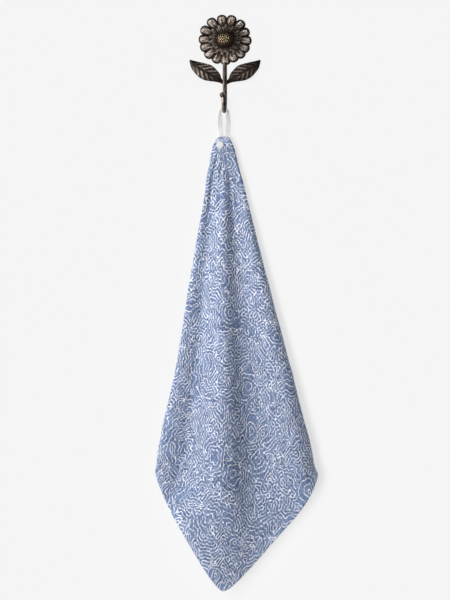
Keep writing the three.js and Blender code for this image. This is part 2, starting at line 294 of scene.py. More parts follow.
def cloth_material(name, printed):
    """The cloth reads two values of its mesh: print, the distance in mm to the nearest
    white line, and relief, 1 on the ridges of the waffle weave and 0 in its pits."""
    n = Nodes(name)
    uv = n.uv()
    # White lines with a ragged edge, wider on the ridges and faded in places
    line = n.math("ABSOLUTE", n.value("print"))
    ragged = n.noise(uv, 360, 3, 0.7)
    edge = n.math("MULTIPLY_ADD", ragged, 2.2, -1.12)
    relief = n.value("relief")
    inked = n.math("MULTIPLY_ADD", relief, -0.5, 0.3)
    reach = n.math("ADD", n.math("ADD", line, inked), edge)
    white = n.step(reach, 0.52, 1.10, 1.0, 0.0)
    faded = n.step(n.noise(uv, 95, 3, 0.6), 0.36, 0.62, 0.42, 1.0)
    white = n.math("MULTIPLY", white, faded)
    # The ground is uneven over centimetres and speckled yarn by yarn.
    patch = n.noise(uv, 60, 4, 0.6)
    speck = n.noise(uv, 300, 3, 0.7)
    if printed:
        deep = n.mix(n.step(patch, 0.3, 0.7), (0.064, 0.106, 0.220, 1), (0.170, 0.245, 0.435, 1))
        ground = n.mix(n.step(speck, 0.4, 0.68), deep, (0.335, 0.415, 0.615, 1))
        color = n.mix(white, ground, (0.95, 0.965, 1.0, 1))
    else:
        ground = n.mix(n.step(patch, 0.3, 0.7), (0.56, 0.60, 0.70, 1), (0.62, 0.66, 0.74, 1))
        color = n.mix(n.math("MULTIPLY", white, 0.5), ground, (0.82, 0.84, 0.88, 1))
    # Painted shade: the pits of the waffle are darkened, as shade falls in these hollows.
    painted_pit_shade = n.step(relief, 0.0, 0.8, 0.68, 1.0)
    pit_shade_gray = n.node("ShaderNodeCombineColor")
    for k in range(3):
        n.put(pit_shade_gray.inputs[k], painted_pit_shade)
    color = n.mix(1.0, color, pit_shade_gray.outputs[0], "MULTIPLY")
    yarns = yarn_height(n, CELL_U * MM / YARNS_IN_CELL, CELL_V * MM / YARNS_IN_CELL)
    fuzz = n.noise(uv, 2600, 2, 0.6)
    height = n.math("ADD", yarns, fuzz)
    return n.finish(color, n.step(fuzz, 0.2, 0.8, 0.84, 0.96),
                    n.bump(height, 0.00009, 0.6),
                    Specular_IOR_Level=0.2, Sheen_Weight=0.12, Sheen_Roughness=0.5)


TWILL_REPEAT, PICK_REPEAT = 0.0011, 0.0006     # of the tape's weave, in metres


def tape_material():
    n = Nodes("twill_tape")
    split = n.node("ShaderNodeSeparateXYZ", {"Vector": n.uv()})
    slant = n.math("ADD", split.outputs[0], n.math("MULTIPLY", split.outputs[1], 0.8))
    twill = n.math("SINE", n.math("MULTIPLY", slant, 2 * math.pi / TWILL_REPEAT))
    pick = n.math("SINE", n.math("MULTIPLY", split.outputs[1], 2 * math.pi / PICK_REPEAT))
    fuzz = n.noise(n.uv(), 1500, 2, 0.6)
    height = n.math("ADD", n.math("MULTIPLY_ADD", pick, 0.3, twill), fuzz)
    color = n.mix(n.step(twill, -1, 1), (0.86, 0.86, 0.855, 1), (0.93, 0.93, 0.925, 1))
    color = n.mix(n.step(fuzz, 0.3, 0.8), color, (0.95, 0.95, 0.945, 1))
    n.finish(color, n.step(fuzz, 0.2, 0.8, 0.8, 0.94), n.bump(height, 0.00012, 0.7),
             Specular_IOR_Level=0.25, Sheen_Weight=0.1, Sheen_Roughness=0.5)
    # The thin weave lets some of the light through.
    through = n.node("ShaderNodeBsdfTranslucent", {"Color": color})
    mixed = n.node("ShaderNodeMixShader", {0: 0.6, 1: n.shader.outputs[0],
                                           2: through.outputs[0]})
    n.put(n.output.inputs["Surface"], mixed.outputs[0])
    return n.material


def thread_material():
    n = Nodes("sewing_thread")
    p = n.position()
    fuzz = n.noise(p, 2500, 2, 0.6)
    color = n.mix(fuzz, (0.30, 0.37, 0.55, 1), (0.42, 0.49, 0.66, 1))
    return n.finish(color, n.step(fuzz, 0.2, 0.8, 0.6, 0.8), n.bump(fuzz, 0.00005),
                    Specular_IOR_Level=0.3)


def snap_material():
    n = Nodes("white_snap")
    p = n.position()
    mottle = n.noise(p, 260, 3, 0.5)
    scuff = n.noise(p, 1800, 4, 0.7, 0.4)
    color = n.mix(n.step(mottle, 0.3, 0.7), (0.665, 0.665, 0.665, 1), (0.715, 0.715, 0.715, 1))
    return n.finish(color, n.step(scuff, 0.3, 0.8, 0.22, 0.4), n.bump(scuff, 0.00002),
                    Coat_Weight=0.2, Coat_Roughness=0.15)


def bronze_material(name="aged_bronze", warm=0.0):
    """Bronze that is dark in its hollows and bright where the mesh's value is high; that value
    holds rubbed wear and also painted highlights and painted shade, and warm turns the bright
    parts from brown to gold."""
    n = Nodes(name)
    p = n.position()
    wear_and_sheen = n.value("wear_and_sheen")
    broad = n.noise(p, 90, 3, 0.6)
    grain = n.noise(p, 900, 4, 0.65)
    rubbed_and_lit = n.math("ADD", wear_and_sheen, n.math("MULTIPLY_ADD", grain, 0.3, -0.15))
    rubbed_and_lit = n.step(n.math("ADD", rubbed_and_lit, n.math("MULTIPLY_ADD", broad, 0.4, -0.2)), 0.15, 0.95)
    dark = (0.020 + 0.006 * warm, 0.014 + 0.002 * warm, 0.011, 1)
    mid = (0.095 + 0.05 * warm, 0.073 + 0.02 * warm, 0.059, 1)
    light = (0.34 + 0.22 * warm, 0.285 + 0.14 * warm, 0.25 + 0.02 * warm, 1)
    color = n.mix(n.step(rubbed_and_lit, 0.0, 0.55), dark, mid)
    color = n.mix(n.step(rubbed_and_lit, 0.5, 1.0), color, light)
    rough = n.step(grain, 0.2, 0.8, 0.34, 0.52)
    return n.finish(color, rough, n.bump(grain, 0.00016, 0.7), Metallic=0.85)


WALL_GLOW, WALL_WHITENESS = 0.674, 0.2    # the wall's even light, and how it takes shadows


def wall_material():
    """A matt pale wall that is clear from behind, so that the back of the towel shows."""
    n = Nodes("matt_wall")
    plaster = n.noise(n.position(), 240, 3, 0.5)
    n.finish((*[WALL_WHITENESS] * 3, 1), 1.0, n.bump(plaster, 0.00002, 0.3),
             Specular_IOR_Level=0.0, Emission_Color=(1, 1, 1, 1), Emission_Strength=WALL_GLOW)
    clear = n.node("ShaderNodeBsdfTransparent")
    behind = n.node("ShaderNodeNewGeometry").outputs["Backfacing"]
    mixed = n.node("ShaderNodeMixShader", {0: behind, 1: n.shader.outputs[0],
                                           2: clear.outputs[0]})
    n.put(n.output.inputs["Surface"], mixed.outputs[0])
    return n.material


# The towel's hung shape
HALF_THICKNESS = 0.95
BIAS_SHEAR = 14             # degrees by which the hung cloth has pulled out of square
CORNER = np.array([-3.6, -25, -134.2])     # where the towel's top corner would be
TURNED_IN_CORNER = 14.8     # the top edge where the corner is turned in, below the corner
SHOULDER_DROP, SHOULDER_WIDTH = 8.6, 14.8  # of the rounded top edge
LEAN = 0.072                # how far the cloth leans to the viewer, as a slope
HEM_BOW = 0.02              # how far the low edges bow outwards, as a share
CREASES_MEET_BELOW = 34     # distances from the corner, in mm
CREASES_LOW_AT = 540

# One row per crease that spreads from the corner. angle: its direction low down, in
# degrees from the diagonal. beside: how far it passes beside the corner. top, low: which
# way the cloth runs there near the corner and low down: 0 right, 90 to the viewer,
# 180 back to the left behind the front layer.
CREASES = [
    ("angle", "beside", "top", "low"),
    (-43, 0, 186, 180), (-39, -1, 190, 200), (-34, -3.5, 186, 152), (-29.5, -5.5, 184, 206),
    (-25, -7, 182, 154), (-20.8, -8, 180, 198), (-17.2, -8.5, 178, 180),
    (-15.2, -8.6, 168, 170), (-13.7, -8, 90, 90), (-12.2, -7.4, 10, 4), (-9.8, -7, 2, -18),
    (-6.5, -6, 1, 42), (-3.2, -3, 0, 49), (0, 0, 0, 0), (2.8, 4, 0, -38), (6.3, 7, -1, 0),
    (10, 7, -2, 29), (13.4, 6.8, -6, 17), (15.6, 6.4, -30, -37), (17.8, 6.2, -100, -92),
    (20, 6, -170, -170), (26, 3, -180, -179), (33, 0, -186, -188),
]
# How far the folds are closed at each distance from the corner
CLOSING = [
    ("distance", "closed"),
    (0, .16), (15, .22), (30, .48), (50, .68), (80, .86), (130, .95), (200, .985),
    (300, 1), (540, 1), (585, .74), (620, .44), (680, .24), (760, .25),
]


# Small shifts of the hung cloth about a place on it, in mm
NUDGES = [
    ("x", "z", "right", "up", "reach"),
    (147, -677, -4, 4, 34), (-110, -672, 0, -4, 50), (-78, -505, 4, 0, 90),
    (38, -842, -3, 0, 38), (-95, -722, -4, 0, 45), (120, -735, 4, 0, 45),
    (149, -674, -4, 0, 18), (-112, -666, 3, 0, 18),
]


def column(table, name):
    k = table[0].index(name)
    return np.array([row[k] for row in table[1:]], float)


corner_angle = (90 - BIAS_SHEAR) * DEG
diagonal = math.sqrt(SHORT_SIDE ** 2 + LONG_SIDE ** 2
                     + 2 * SHORT_SIDE * LONG_SIDE * math.cos(corner_angle))
short_angle = math.asin(LONG_SIDE * math.sin(corner_angle) / diagonal)
long_angle = math.asin(SHORT_SIDE * math.sin(corner_angle) / diagonal)

# The table of directions: a step and count of distances in mm, and a step in degrees
# with the counts of steps to the left and right of the diagonal
R_STEP, R_COUNT = 2.5, 312
P_STEP = 0.1
P_LEFT, P_RIGHT = 436, 336


def direction_table():
    """Unit vectors from the corner to the cloth, by distance and angle in the flat cloth.
    The cloth isn't stretched: each ring round the corner keeps its length on a sphere."""
    r = np.arange(R_COUNT) * R_STEP
    closed = smooth_curve(column(CLOSING, "distance"), column(CLOSING, "closed"))(r)
    s = smoothstep(r, 45, 125)
    angle, beside = column(CREASES, "angle"), column(CREASES, "beside")
    top, low = column(CREASES, "top"), column(CREASES, "low")
    mids = (np.arange(-P_LEFT, P_RIGHT) + 0.5) * P_STEP
    headings = np.empty((R_COUNT, len(mids)))
    for k in range(R_COUNT):
        shift = beside / DEG * (1 / max(r[k], CREASES_MEET_BELOW) - 1 / CREASES_LOW_AT)
        values = (top + (low - top) * s[k]) * closed[k]
        headings[k] = smooth_curve(angle + shift, values)(mids)
    headings *= DEG
    lean = LEAN * np.clip((r - 30) / 150, 0, 1)
    start = unit(np.stack([0 * r, -lean, -1 + 0 * r], axis=1))
    table = np.empty((R_COUNT, P_LEFT + P_RIGHT + 1, 3))
    table[:, P_LEFT] = start
    for sign, count in ((1, P_RIGHT), (-1, P_LEFT)):
        at = start.copy()
        for k in range(count):
            h = headings[:, P_LEFT + k if sign > 0 else P_LEFT - 1 - k]
            right = unit(np.array([1.0, 0, 0]) - at * at[:, :1])
            out = np.cross(right, at)
            out[out[:, 1] > 0] *= -1
            step = sign * P_STEP * DEG
            at = unit(at + step * (np.cos(h)[:, None] * right + np.sin(h)[:, None] * out))
            table[:, P_LEFT + sign * (k + 1)] = at
    return table


directions = direction_table()


def cloth_points(across, down):
    """Where the cloth's middle surface lies; across and down are flat, from the corner."""
    r, a = np.hypot(across, down), np.arctan2(across, down)
    opposite = np.where(a <= 0, long_angle, short_angle)
    straight = diagonal * np.sin(opposite) / np.sin(np.abs(a) + opposite)
    q = np.abs(a) / DEG / 3.4
    bow = HEM_BOW * q * np.exp(1 - q) * (straight / diagonal) ** 3
    r = r * (1 + bow * (r / straight) ** 2)
    x = np.clip(r / R_STEP, 0, R_COUNT - 1.001)
    y = np.clip(a / DEG / P_STEP + P_LEFT, 0, P_LEFT + P_RIGHT - 0.001)
    i, j = x.astype(int), y.astype(int)
    fx, fy = (x - i)[..., None], (y - j)[..., None]
    at = (directions[i, j] * (1 - fx) * (1 - fy) + directions[i + 1, j] * fx * (1 - fy)
          + directions[i, j + 1] * (1 - fx) * fy + directions[i + 1, j + 1] * fx * fy)
    points = CORNER + unit(at) * r[..., None]
    for x, z, right, up, reach in NUDGES[1:]:
        pull = np.exp(-((points[..., 0] - x) ** 2 + (points[..., 2] - z) ** 2) / reach ** 2)
        points = points + pull[..., None] * np.array([right, 0.0, up])
    return points


def top_edge(across):
    """The rounded top edge, as a distance below the corner in the flat cloth."""
    return TURNED_IN_CORNER + SHOULDER_DROP * np.clip(
        np.abs(across - 0.8) / SHOULDER_WIDTH, 0, 1) ** 4


# The print
def labyrinth(rows, cols, pitch_u, pitch_v, wavelength, steps, seed):
    """Winding stripes of one wavelength that run every way and repeat at the edges,
    grown from random noise in a few steps."""
    rng = np.random.default_rng(seed)
    f = rng.normal(0, 0.4, (rows, cols))
    ku = 2 * math.pi * np.fft.fftfreq(rows, pitch_u)[:, None]
    kv = 2 * math.pi * np.fft.rfftfreq(cols, pitch_v)[None, :]
    k0 = 2 * math.pi / wavelength
    linear = 0.55 - (1 - (ku ** 2 + kv ** 2) / k0 ** 2) ** 2
    dt = 0.6
    for _ in range(steps):
        f = np.fft.irfft2((np.fft.rfft2(f) - dt * np.fft.rfft2(f ** 3)) / (1 - dt * linear),
                          s=(rows, cols))
    return f / np.sqrt(2 * np.mean(f ** 2))


PRINT_SEED = 7
PATCHES = 260                               # of the print, on the whole cloth
PATCH_KINDS = [0.38, 0.14, 0.10, 0.38]      # shares of stripes, rings, rays and labyrinth
PATCH_WAVES = 7.0, 14.0                     # mm, two white lines in each wave
MAZE_WAVE, MAZE_STEPS = 8.6, 12
PRINT_WARP, WARP_WAVE = 4, 7                # mm, and mesh steps
LINE_REACH = 3                              # the field ends at this distance in mm


def print_field(rows, cols, pitch_u, pitch_v, seed):
    """A generic print of patches: wavy stripes, rings, rays and labyrinth lines, drawn at
    random. The value is the distance in mm to the nearest white line, with a sign."""
    rng = np.random.default_rng(seed)
    size_u, size_v = rows * pitch_u, cols * pitch_v
    i, j = np.meshgrid(np.arange(rows) * pitch_u, np.arange(cols) * pitch_v, indexing="ij")
    i = i + PRINT_WARP * soft_noise(rows, cols, WARP_WAVE, seed + 1)
    j = j + PRINT_WARP * soft_noise(rows, cols, WARP_WAVE, seed + 2)
    best = np.full((rows, cols), 1e9)
    field = np.zeros((rows, cols))
    maze = labyrinth(rows, cols, pitch_u, pitch_v, MAZE_WAVE, MAZE_STEPS, seed + 3)
    for k in range(PATCHES):
        du = (i - rng.uniform(0, size_u) + size_u / 2) % size_u - size_u / 2
        dv = (j - rng.uniform(0, size_v) + size_v / 2) % size_v - size_v / 2
        turn, phase, wave = rng.uniform(0, math.pi), rng.uniform(0, 6), rng.uniform(*PATCH_WAVES)
        kind = rng.choice(4, p=PATCH_KINDS)
        distance = np.hypot(du, dv)
        along = du * math.cos(turn) + dv * math.sin(turn)
        across = dv * math.cos(turn) - du * math.sin(turn)
        if kind == 0:
            new = np.sin(2 * math.pi * (along / wave + 0.2 * np.sin(across * 0.3)) + phase)
        elif kind == 1:
            new = np.cos(2 * math.pi * distance / wave + phase)
        elif kind == 2:
            # More rays further out, about a small ring
            rays = np.where(distance > 15, 15, np.where(distance > 9, 9, 5))
            spokes = np.cos(np.arctan2(dv, du) * rays + phase)
            new = np.where(distance < 4, distance - 2.2, spokes)
        else:
            new = maze
        nearer = distance < best
        field = np.where(nearer, new, field)
        best = np.minimum(best, distance)
    field = (field * 2 + np.roll(field, 1, 0) + np.roll(field, -1, 0)
             + np.roll(field, 1, 1) + np.roll(field, -1, 1)) / 6
    slope_u = (np.roll(field, -1, 0) - np.roll(field, 1, 0)) / (2 * pitch_u)
    slope_v = (np.roll(field, -1, 1) - np.roll(field, 1, 1)) / (2 * pitch_v)
    slope = np.sqrt(slope_u ** 2 + slope_v ** 2 + 0.012)
    return np.clip(field / slope, -LINE_REACH, LINE_REACH)


def soft_noise(rows, cols, wavelength_steps, seed):
    """Smooth random waves on a grid, about -1 to 1."""
    rng = np.random.default_rng(seed)
    f = np.fft.rfft2(rng.normal(0, 1, (rows, cols)))
    k = np.hypot(np.fft.fftfreq(rows)[:, None], np.fft.rfftfreq(cols)[None, :])
    f = np.fft.irfft2(f * np.exp(-(k * wavelength_steps) ** 2 * 2), s=(rows, cols))
    return f / (2.2 * f.std())


# Towel
STEPS = 3                    # mesh steps in each waffle cell
WAFFLE_DEPTH = 0.34
HEM_WIDTH, SEAM_INSET = 9.5, 8.0


def towel():
    nu, nv = CELLS_U * STEPS, CELLS_V * STEPS
    u_even = np.linspace(0, SHORT_SIDE, nu + 1)
    v_even = np.linspace(0, LONG_SIDE, nv + 1)
    field = print_field(nu, nv, SHORT_SIDE / nu, LONG_SIDE / nv, PRINT_SEED)
    waves = soft_noise(nu, nv, 26, 11) * 0.6 + soft_noise(nu, nv, 11, 12) * 0.25

    # Two more grid lines at each edge give the cloth a rounded rim.
    def with_rim(even, side):
        return np.concatenate([[0, 0.3], even[1:-1], [side - 0.3, side]])
    u, v = with_rim(u_even, SHORT_SIDE), with_rim(v_even, LONG_SIDE)
    ui = np.clip(np.round(u / (SHORT_SIDE / nu)).astype(int), 0, nu) % nu
    vi = np.clip(np.round(v / (LONG_SIDE / nv)).astype(int), 0, nv) % nv
    U, V = np.meshgrid(u, v, indexing="ij")
    across = V * math.sin(long_angle) - U * math.sin(short_angle)
    down = V * math.cos(long_angle) + U * math.cos(short_angle)

    # The corner itself is turned in: the cloth begins at a rounded edge below it.
    top = top_edge(across)
    keep = down > top
    near = keep.copy()
    for du in (-1, 0, 1):
        for dv in (-1, 0, 1):
            near |= np.roll(np.roll(keep, du, 0), dv, 1)
    edge = np.minimum(np.minimum(U, SHORT_SIDE - U), np.minimum(V, LONG_SIDE - V))
    edge = np.where(keep, np.minimum(edge, (down - top) * 0.8 + 0.02), 0)
    down = np.maximum(down, top)

    middle = cloth_points(across, down)
    rows, cols = U.shape
    quads = grid_faces(rows, cols)
    good = keep.ravel()[quads].sum(1) >= 1
    good &= near.ravel()[quads].all(1)
    quads = quads[good]

    # Smooth normals of the middle surface, to the printed side
    flat = middle.reshape(-1, 3)
    d1 = flat[quads[:, 2]] - flat[quads[:, 0]]
    d2 = flat[quads[:, 3]] - flat[quads[:, 1]]
    face_normals = np.cross(d1, d2)
    normal = np.zeros_like(flat)
    for k in range(4):
        np.add.at(normal, quads[:, k], face_normals)
    normal = unit(normal).reshape(middle.shape)

    fade = smoothstep(np.hypot(across, down), 90, 220)
    soft = waves[np.ix_(ui, vi)] * fade
    # Fine pleats spread from the gathered corner and die out below it.
    radius, angle = np.hypot(across, down), np.arctan2(across, down) / DEG
    gather = smoothstep(radius, 28, 60) * (1 - smoothstep(radius, 90, 210))
    soft = soft + gather * (0.9 * np.sin(angle * 0.72 + 0.4) + 0.6 * np.sin(angle * 1.31 + 2.0))
    middle = middle + normal * soft[..., None]

    def ridge(shift):
        a = np.abs((U / CELL_U + shift) - np.round(U / CELL_U + shift))
        b = np.abs((V / CELL_V + shift) - np.round(V / CELL_V + shift))
        return np.maximum(np.clip(1 - 3 * a, 0, 1), np.clip(1 - 3 * b, 0, 1))

    weave = smoothstep(edge, HEM_WIDTH - 1.6, HEM_WIDTH + 0.4)
    rim = np.sqrt(np.clip(1 - (1 - np.clip(edge / 1.1, 0, 1)) ** 2, 0, 1))
    seam = np.exp(-((edge - SEAM_INSET) / 0.9) ** 2)
    hem = 1 - smoothstep(edge, HEM_WIDTH - 1.2, HEM_WIDTH)
    parts = {}
    for side, shift in ((1, 0.0), (-1, 1 / 3)):
        high = ridge(shift)
        relief = np.where(weave > 0, high * weave + (1 - weave) * 0.8, 0.8)
        lift = HALF_THICKNESS + (relief - 0.62) * WAFFLE_DEPTH * weave
        lift += hem * (0.05 if side > 0 else 0.45) - seam * 0.22
        points = middle + normal * (side * lift * rim)[..., None]
        parts[side] = points.reshape(-1, 3), relief.ravel()

    used = np.unique(quads)
    renumber = np.full(rows * cols, -1)
    renumber[used] = np.arange(len(used))
    faces = renumber[quads]
    # The grid's own order faces the viewer at the front: u runs left, v runs right.
    uv = np.stack([U.ravel(), V.ravel()], axis=1)[used] * MM
    printed = field[np.ix_(ui, vi)].ravel()[used]
    made = []
    for side, name, material in ((1, "towel_face", cloth_material("waffle_print", True)),
                                 (-1, "towel_reverse", cloth_material("waffle_back", False))):
        points, relief = parts[side]
        obj = make_object(name, points[used], faces if side > 0 else faces[:, ::-1], material)
        add_values(obj, "print", printed)
        add_values(obj, "relief", relief[used])
        add_uv(obj, uv)
        made.append(obj)
    return made


towel_face, towel_reverse = towel()


# Hem stitches
def stitch(a, middle, b, up, radius):
    """One stitch from a to b, thinner at its ends; up points away from the cloth."""
    wide = np.cross(unit(b - a), up)
    rings = [[p + radius * size * (math.cos(w) * wide + math.sin(w) * up)
              for w in np.arange(6) * math.pi / 3]
             for p, size in ((a, 0.5), (middle, 1.0), (b, 0.5))]
    points, faces = tube(np.array([a, middle, b]), np.array(rings))
    return points, faces, np.ones(len(points))


def stitches_on_cloth():
    """A row of short stitches inside each hem, on both faces."""
    parts = []

    def points_at(uu, vv):
        a = vv * math.sin(long_angle) - uu * math.sin(short_angle)
        d = vv * math.cos(long_angle) + uu * math.cos(short_angle)
        return cloth_points(a, d), d - top_edge(a)

    inset, pitch, length, radius = SEAM_INSET, 3.4, 2.6, 0.24
    lines = [
        ((inset, inset), (SHORT_SIDE - inset, inset)),
        ((inset, inset), (inset, LONG_SIDE - inset)),
        ((SHORT_SIDE - inset, inset), (SHORT_SIDE - inset, LONG_SIDE - inset)),
        ((inset, LONG_SIDE - inset), (SHORT_SIDE - inset, LONG_SIDE - inset)),
    ]
    for (u0, v0), (u1, v1) in lines:
        span = math.hypot(u1 - u0, v1 - v0)
        count = int(span / pitch)
        t0 = (np.arange(count) + 0.5) * pitch / span
        half = 0.5 * length / span
        ends = []
        for t in (t0 - half, t0, t0 + half):
            uu, vv = u0 + (u1 - u0) * t, v0 + (v1 - v0) * t
            here, d = points_at(uu, vv)
            ahead, _ = points_at(uu + 0.6, vv)
            beside, _ = points_at(uu, vv + 0.6)
            n = unit(np.cross(ahead - here, beside - here))
            ends.append((here, n, d))
        for side in (1, -1):
            lift = HALF_THICKNESS + (0.02 if side > 0 else 0.24)
            for k in range(count):
                if min(e[2][k] for e in ends) < 3:      # beyond the turned-in corner
                    continue
                a, m, b = (e[0][k] + side * e[1][k] * (lift + h)
                           for e, h in zip(ends, (-0.25, 0.12, -0.25)))
                parts.append(stitch(a, m, b, side * ends[1][1][k], radius))
    return joined(parts)


points, faces, _ = stitches_on_cloth()
thread = thread_material()
hem_stitches = make_object("hem_stitches", points, faces, thread)


# Hanging strap
TAPE_WIDTH, TAPE_THICKNESS = 8.8, 1.15
TAPE_STATIONS = [
    ("x", "y", "z", "turn"),
    (-6.5, -22.9, -168.5, 0), (-6.5, -22.9, -160, 0), (-6.9, -22.9, -151, 2),
    (-8.2, -22.8, -140, 10), (-8.6, -21.9, -128, 22), (-8.1, -21.5, -117, 44),
    (-7.6, -21.5, -109, 74), (-5.6, -21.5, -104.8, 90), (-1.6, -21.5, -103.1, 90),
    (2.4, -21.5, -104.8, 90), (4.2, -21.5, -109, 70), (4.0, -21.5, -117, 42),
    (4.2, -21.4, -128, 22), (3.5, -21.4, -140, 12), (1.2, -21.2, -151, 2),
    (0.5, -21.2, -160, 0), (0.5, -21.2, -168.5, 0),
]


def strap():
    stations = np.array(TAPE_STATIONS[1:], float)
    count = 12 * (len(stations) - 1)
    path = centripetal(stations[:, :3], count)
    turn = smooth_curve(np.arange(len(stations)), stations[:, 3])(
        np.linspace(0, len(stations) - 1, count + 1)) * DEG
    along = unit(np.gradient(path, axis=0))
    across = np.stack([np.cos(turn), np.sin(turn), 0 * turn], axis=1)
    across = unit(across - along * (across * along).sum(1, keepdims=True))
    face = np.cross(across, along)
    half_w, half_t, sides = TAPE_WIDTH / 2, TAPE_THICKNESS / 2, 20
    # A flat section with round selvages, a little thicker than the middle
    profile = []
    for k in range(sides):
        a = 2 * math.pi * k / sides
        x = half_w * math.copysign(abs(math.cos(a)) ** 0.35, math.cos(a))
        y = half_t * math.copysign(abs(math.sin(a)) ** 0.6, math.sin(a))
        profile.append((x, y * (0.86 + 0.14 * (abs(x) / half_w) ** 4)))
    profile = np.array(profile)
    rings = (path[:, None] + profile[None, :, :1] * across[:, None]
             + profile[None, :, 1:] * face[:, None])
    points, faces = tube(path, rings)
    obj = make_object("strap_tape", points, faces, tape_material())
    length = np.concatenate([[0], np.cumsum(np.linalg.norm(np.diff(path, axis=0), axis=1))])
    uv = np.stack([np.tile(profile[:, 0], count + 1), np.repeat(length, sides)], axis=1)
    uv = np.vstack([uv, [0, 0], [0, length[-1]]]) * MM
    add_uv(obj, uv)
    return obj, length[-1]


strap_tape, tape_length = strap()


def strap_stitches():
    """A small box of stitches through each end of the tape, seen from behind."""
    parts = []
    for end, z_low, z_high, y in ((-6.5, -167, -153, -22.9), (0.5, -167, -153, -21.2)):
        loop = [(-3.2, z_low), (3.2, z_low), (3.2, z_high), (-3.2, z_high)]
        for k in range(4):
            (xa, za), (xb, zb) = loop[k], loop[(k + 1) % 4]
            span = math.hypot(xb - xa, zb - za)
            count = max(2, int(span / 2.2))
            for s in range(count):
                t0, t1 = (s + 0.12) / count, (s + 0.88) / count
                a = np.array([end + xa + (xb - xa) * t0, y + 0.5, za + (zb - za) * t0])
                b = np.array([end + xa + (xb - xa) * t1, y + 0.5, za + (zb - za) * t1])
                m = (a + b) / 2 + [0, 0.22, 0]
                parts.append(stitch(a, m, b, np.array([0, 1, 0]), 0.2))
    return joined(parts)


points, faces, _ = strap_stitches()
strap_thread = make_object("strap_stitches", points, faces, thread)


# Press snap
SNAP_CENTRE = (-8.27, -25, -161.5)


def lathe(profile, sides, centre, squeeze=(1.0, 1.0)):
    """A round body about a line along Y: profile rows are (radius, y)."""
    radius, y = np.array(profile, float).T
    a = 2 * math.pi * np.arange(sides) / sides
    rings = np.stack([np.outer(radius, np.cos(a)) * squeeze[0], np.repeat(y[:, None], sides, 1),
                      np.outer(radius, np.sin(a)) * squeeze[1]], axis=2)
    axis = np.stack([0 * y, y, 0 * y], axis=1)
    return tube(axis + centre, rings + centre)


def arc(centre_r, centre_y, radius, start, stop, count):
    return [(centre_r + radius * math.cos(t * DEG), centre_y + radius * math.sin(t * DEG))
            for t in np.linspace(start, stop, count)]


def snap():
    front = ([(0.3, -3.45), (1.6, -3.44), (2.7, -3.36)]
             + arc(4.15, -2.55, 0.85, -115, -92, 3) + arc(4.7, -2.35, 0.9, -80, 20, 8)
             + [(5.5, -1.75), (5.1, -1.45), (1.62, -1.42)])
    post = [(1.6, -1.2), (1.6, 2.9)]
    back = ([(3.5, 3.0)] + arc(3.3, 3.55, 0.4, -60, 60, 5) + [(3.1, 4.4)]
            + [(2.3, 4.62), (2.1, 4.2), (1.1, 4.1), (0.3, 4.1)])
    # The profile runs from the cap's middle at the front to the socket's at the back.
    return lathe(front + post + back, 56, SNAP_CENTRE)


points, faces = snap()
snap_button = make_object("snap_button", points, faces, snap_material())


# Wall hook
BAR_RADIUS, BALL_RADIUS = 3.5, 4.7
STEM_X, STEM_DEPTH = -0.8, 5.5           # the middle of the stem, and how far off the wall
U_RADIUS, U_CENTRE_Z = 16, -92.7         # of the hook's bend
FLOWER = (-0.4, 3.9)                     # the flower's middle, as x and z
FLOWER_SQUASH = 39.0 / 40.6              # its height to its width
PETAL_ANGLES = [-8, 18, 44, 69, 92, 114, 134, 156, 179, 202, 226, 249, 271, 296, 324]
PETAL_RINGS = [
    ("turn", "start", "reach", "half_width", "base_width", "depth", "rise", "height", "groove",
     "shade", "wear_and_sheen", "seed"),
    (0, 12, 41.6, 8.0, 3.0, 3.6, 1.2, 3.4, 0.45, 0.22, 1.0, 40),
    (12, 11, 27.5, 3.5, 2.2, 6.2, -0.2, 2.0, 0.3, 0.1, 0.66, 80),
    (0, 11, 22.0, 2.2, 1.6, 6.9, -0.6, 1.6, 0.3, 0.2, 0.66, 120),
]
# The left leaf's two edges from its tip to the stem
LEAF_STATIONS = [
    ("top_x", "top_z", "low_x", "low_z", "depth"),
    (-55.2, -27.4, -55.8, -29.8, 4.6), (-45.6, -29.9, -53.2, -39.8, 5.8),
    (-31.2, -33.3, -46.8, -49.1, 7.2), (-20.7, -36.8, -39, -56.3, 7.8),
    (-12.9, -44, -30, -60.2, 7.4), (-7.8, -50.4, -18.3, -61.9, 6.4),
    (-5.6, -56.9, -10.1, -63.2, 5.5), (-0.6, -61.6, -0.6, -67.7, 5.5),
]


